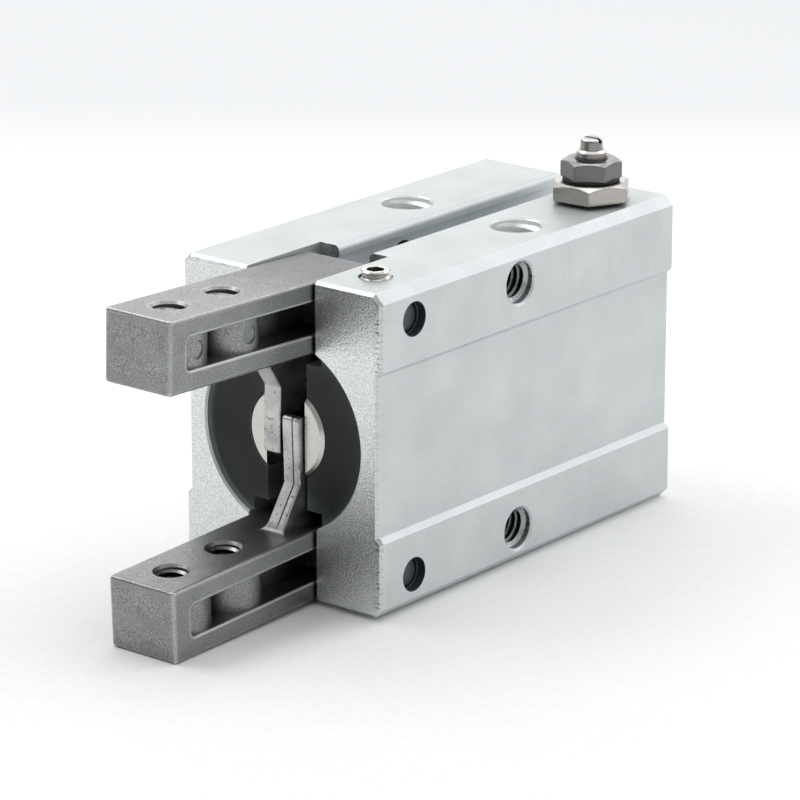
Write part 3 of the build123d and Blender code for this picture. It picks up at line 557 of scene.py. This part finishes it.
def run_out(ridge, root, crest, turns):
    """Let a ridge rise from its root over the first steps, and sink to it over the last ones."""
    last = turns * TURN_STEPS
    corners = len(ridge.data.vertices) // (last + 1)
    for step in range(RUN_OUT_STEPS):
        height = (step + 0.1) / RUN_OUT_STEPS
        share = (root + (crest - root) * height) / crest
        steps = (step, last - step)

        def at_crest(vertex):
            radius = math.hypot(vertex.co.x, vertex.co.y)
            return vertex.index // corners in steps and abs(radius - crest * MM) < 0.02 * MM

        pick_points(ridge, at_crest)
        bpy.ops.transform.resize(value=(share, share, 1), center_override=(0, 0, 0))
        bpy.ops.object.mode_set(mode="OBJECT")


def thread_ridge(root, crest, pitch, length):
    """A helical ridge from its root radius to its crest radius, standing on the origin along Z."""
    bpy.ops.object.select_all(action="DESELECT")
    depth = abs(crest - root) * MM
    middle = (crest + root) / 2 * MM
    upright = (math.radians(90), 0, 0)
    bpy.ops.mesh.primitive_plane_add(size=depth, location=(middle, 0, 0), rotation=upright)
    ridge = bpy.context.object
    bpy.ops.object.transform_apply(location=True, rotation=True, scale=True)
    for radius, share in ((root, THREAD_FOOT), (crest, THREAD_CREST)):
        pick_points(ridge, lambda vertex: abs(vertex.co.x - radius * MM) < depth / 10)
        widened = share * pitch * MM / depth
        bpy.ops.transform.resize(value=(1, 1, widened), center_override=(radius * MM, 0, 0))
    bpy.ops.mesh.select_all(action="SELECT")
    bpy.ops.transform.translate(value=(0, 0, pitch / 2 * MM))
    bpy.ops.object.mode_set(mode="OBJECT")
    turns = max(1, round(length / pitch) - 1)
    winding = ridge.modifiers.new("winding", "SCREW")
    winding.axis = "Z"
    winding.steps = TURN_STEPS
    winding.render_steps = TURN_STEPS
    winding.iterations = turns
    winding.screw_offset = pitch * MM
    winding.use_merge_vertices = False
    winding.use_normal_calculate = True
    only(ridge)
    bpy.ops.object.modifier_apply(modifier="winding")
    bpy.ops.object.mode_set(mode="EDIT")
    bpy.ops.mesh.select_mode(type="EDGE")
    bpy.ops.mesh.select_all(action="DESELECT")
    bpy.ops.mesh.select_non_manifold(extend=False, use_wire=False, use_boundary=True,
                                     use_multi_face=False, use_non_contiguous=False, use_verts=False)
    bpy.ops.mesh.fill_holes(sides=0)
    bpy.ops.mesh.select_all(action="SELECT")
    bpy.ops.mesh.normals_make_consistent(inside=False)
    bpy.ops.object.mode_set(mode="OBJECT")
    run_out(ridge, root, crest, turns)
    return ridge


def tapped_hole(name, mouth, direction, size, length, finish, body):
    """The thread of a tapped hole, whose node is cut at the major radius."""
    radius, pitch = size
    ridge = thread_ridge(radius + 0.01, radius - THREAD_DEPTH * pitch, pitch, length)
    place_along(ridge, mouth, direction)
    finished(ridge, name, finish, body)


def swung(point, up):
    """A place on a finger at the parallel angle, turned to the finger's rest angle."""
    pivot = Vector((0, y_at(PIVOT_SETBACK), PIVOT_HEIGHT))
    opened = Matrix.Rotation(math.radians(REST_OPENING), 4, (-1, 0, 0))
    placed = pivot + opened @ (Vector(point) - pivot)
    return placed if up > 0 else Matrix.Rotation(math.pi, 4, "Y") @ placed


def finger_threads():
    """M3 threads of the two holes through each finger, which start under the countersinks."""
    countersink = 0.25
    length = FINGER_TOP - FINGER_BOTTOM - 2 * countersink
    for up, body in ((1, "upper_jaw"), (-1, "lower_jaw")):
        for count, setback in enumerate(FINGER_HOLE_SETBACKS):
            low = swung((0, y_at(setback), FINGER_BOTTOM + countersink), up)
            high = swung((0, y_at(setback), FINGER_TOP - countersink), up)
            name = f"{body}_thread_{count + 1}"
            tapped_hole(name, high, low - high, M3, length, "tapped steel", body)


def housing_threads():
    """M4 threads through the sides and in the rear, and M5 threads of the air ports."""
    countersink = 0.3
    for up in (-1, 1):
        row = "upper" if up > 0 else "lower"
        for side in (-1, 1):
            hand = "right" if side > 0 else "left"
            mouth = (side * (HALF_WIDTH - countersink), y_at(SIDE_HOLE_SETBACK), up * SIDE_HOLE_HEIGHT)
            tapped_hole(f"side_thread_{row}_{hand}", mouth, (-side, 0, 0), M4, 7.7,
                        "tapped", "body")
        mouth = (-up * REAR_HOLE_X, -0.2, up * REAR_HOLE_HEIGHT)
        tapped_hole(f"rear_thread_{row}", mouth, (0, -1, 0), M4, 5.6, "tapped", "body")
    for side in (-1, 1):
        hand = "right" if side > 0 else "left"
        mouth = (side * PORT_X, y_at(PORT_SETBACK), HALF_HEIGHT - countersink)
        tapped_hole(f"port_thread_{hand}", mouth, (0, 0, -1), M5, 4.8, "anodised", "body")


finger_threads()
housing_threads()

# Screws whose thread shows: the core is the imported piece, drawn in to the root of its thread


def merged_copy(node):
    """A new piece with a node's shape, its points merged."""
    piece = bpy.data.objects.new(f"{node}_core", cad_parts[node].data.copy())
    bpy.context.scene.collection.objects.link(piece)
    only(piece)
    bpy.ops.object.mode_set(mode="EDIT")
    bpy.ops.mesh.select_all(action="SELECT")
    bpy.ops.mesh.remove_doubles(threshold=0.001 * MM)
    bpy.ops.object.mode_set(mode="OBJECT")
    bpy.ops.mesh.customdata_custom_splitnormals_clear()
    return piece


def draw_in(piece, axis_x, axis_y, above_radius, share):
    """Draw the points outside a radius towards a vertical axis."""
    def outside(vertex):
        return math.hypot(vertex.co.x / MM - axis_x, vertex.co.y / MM - axis_y) > above_radius
    pick_points(piece, outside)
    centre = (axis_x * MM, axis_y * MM, 0)
    bpy.ops.transform.resize(value=(share, share, 1), center_override=centre)
    bpy.ops.object.mode_set(mode="OBJECT")


def threaded_set_screws():
    """M3 set screws with their thread: the upper one stands out of its face."""
    radius, pitch = M3
    root = 1.22
    end_chamfer = 0.22
    for up, node in ((1, "upper_set_screw"), (-1, "lower_set_screw")):
        low, high = box_mm(node)
        x, y = (low.x + high.x) / 2, (low.y + high.y) / 2
        core = merged_copy(node)
        draw_in(core, x, y, radius - 0.1, (root + 0.02) / radius)
        finished(core, f"{node}_core", "bright", "body")
        top = high.z if up > 0 else low.z
        ridge = thread_ridge(root, radius - 0.01, pitch, high.z - low.z - 0.4)
        place_along(ridge, (x, y, top - up * end_chamfer), (0, 0, -up))
        finished(ridge, f"{node}_thread", "bright", "body")
        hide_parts(node)
        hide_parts(node)


threaded_set_screws()

# Camera, as in the photograph: lengths in millimetres, angles in degrees

AZIMUTH = 38.996
ELEVATION = 17.679
LENS = 193.78
DISTANCE = 403.70
AIM_Y = -30.0
AIM_RIGHT = 1.6152
AIM_UP = -0.2793


def view_axes():
    """The camera's right, up and back directions."""
    azimuth, elevation = math.radians(AZIMUTH), math.radians(ELEVATION)
    level = math.cos(elevation)
    back = Vector((math.sin(azimuth) * level, -math.cos(azimuth) * level, math.sin(elevation)))
    right = Vector((math.cos(azimuth), math.sin(azimuth), 0))
    return right, back.cross(right), back


def make_camera():
    """A long lens that looks at the gripper from its front right, a little above."""
    right, up, back = view_axes()
    place = Vector((0, AIM_Y, 0)) + back * DISTANCE + right * AIM_RIGHT + up * AIM_UP
    camera = bpy.data.objects.new("camera", bpy.data.cameras.new("camera"))
    camera.data.lens = LENS
    camera.data.sensor_width = 36
    camera.data.clip_start = 0.01
    camera.data.clip_end = 10
    turn = Matrix((right, up, back)).transposed()
    camera.matrix_world = Matrix.Translation(place * MM) @ turn.to_4x4()
    bpy.context.scene.collection.objects.link(camera)
    bpy.context.scene.camera = camera


make_camera()

# Floor, light and background: a table in a studio whose front left is dark, so that metal shows its form


def floor_material():
    """Pale paper sweep: nearly white round the object, a little greyer far behind it."""
    material, place = new_material("Pale paper floor")
    fibre = add_node(material, "ShaderNodeTexNoise", {"Vector": place, "Scale": per_mm(0.6)})
    near = add_node(material, "ShaderNodeValToRGB", {"Fac": fibre}, ((0.3, "#F6F7F7"), (0.7, "#FBFBFB")))
    away = (-0.629, 0.777, 0)
    behind = add_node(material, "ShaderNodeVectorMath", {0: place, 1: away}, operation="DOT_PRODUCT")
    far = add_node(material, "ShaderNodeMapRange",
                   {"Value": behind, "From Min": 100 * MM, "From Max": 150 * MM})
    colour = add_node(material, "ShaderNodeMix",
                      {"Factor": far, "A": near, "B": hex_colour("#E3E5E7")}, data_type="RGBA")
    return with_surface(material, {"Base Color": colour, "Roughness": 0.9, "Specular IOR Level": 0.1})


def make_floor():
    """A flat floor that meets the rear of the body and the tip of the lower finger."""
    bpy.ops.object.select_all(action="DESELECT")
    bpy.ops.mesh.primitive_plane_add(size=2.4, location=(0, 0, 0))
    floor = bpy.context.object
    floor.name = "floor"
    tip_low = box_mm("lower_finger")[0]
    slope = (tip_low.z - body_low.z) / tip_low.y
    for vertex in floor.data.vertices:
        vertex.co.z = body_low.z * MM + vertex.co.y * slope
    floor.data.materials.append(floor_material())


def make_light(name, place, aim, size, power):
    """A soft square lamp that points at a place."""
    data = bpy.data.lights.new(name, "AREA")
    data.shape = "SQUARE"
    data.size = size
    data.energy = power
    lamp = bpy.data.objects.new(name, data)
    lamp.location = place
    lamp.rotation_euler = (Vector(aim) - Vector(place)).to_track_quat("-Z", "Y").to_euler()
    bpy.context.scene.collection.objects.link(lamp)


make_floor()
make_light("back_softbox", place=(0.17, 0.42, 0.36), aim=(0, -0.02, 0), size=0.34, power=0.48)
make_light("low_back_softbox", place=(-0.38, 0.44, 0.20), aim=(0, -0.02, 0), size=0.26, power=0.16)
make_light("top_softbox", place=(-0.05, 0.04, 0.55), aim=(0, -0.02, 0), size=0.28, power=0.33)
make_light("left_softbox", place=(-0.30, -0.15, 0.38), aim=(0, -0.04, 0), size=0.25, power=0.58)


def make_world():
    """A studio that is bright behind and above and plain in front.

    The camera sees its background as white, and so do metal and glass where they look behind the object.
    """
    world = bpy.data.worlds.new("studio")
    bpy.context.scene.world = world
    world.use_nodes = True
    world.node_tree.nodes.clear()
    direction = add_node(world, "ShaderNodeTexCoord").outputs["Object"]
    back_and_up = (0, 0.90, 0.43)
    toward = add_node(world, "ShaderNodeVectorMath", {0: direction, 1: back_and_up}, operation="DOT_PRODUCT")
    bright = add_node(world, "ShaderNodeMapRange",
                      {"Value": toward, "From Min": -0.8, "From Max": 0.8, "To Min": 0.30, "To Max": 1.05},
                      interpolation_type="SMOOTHSTEP")
    depth = add_node(world, "ShaderNodeSeparateXYZ", {"Vector": direction}).outputs["Y"]
    behind = add_node(world, "ShaderNodeMapRange", {"Value": depth, "From Min": 0.2, "From Max": 0.6})
    rays = add_node(world, "ShaderNodeLightPath").outputs
    mirrored = add_node(world, "ShaderNodeMath", {0: rays["Is Glossy Ray"], 1: behind}, operation="MULTIPLY")
    straight = add_node(world, "ShaderNodeMath",
                        {0: rays["Is Camera Ray"], 1: rays["Is Transmission Ray"]}, operation="MAXIMUM")
    seen = add_node(world, "ShaderNodeMath", {0: straight, 1: mirrored}, operation="MAXIMUM")
    strength = add_node(world, "ShaderNodeMix", {"Factor": seen, "A": bright, "B": 1.0})
    background = add_node(world, "ShaderNodeBackground",
                          {"Color": hex_colour("#FDFDFD"), "Strength": strength})
    add_node(world, "ShaderNodeOutputWorld", {"Surface": background})


make_world()

bpy.context.scene.view_settings.view_transform = "Standard"
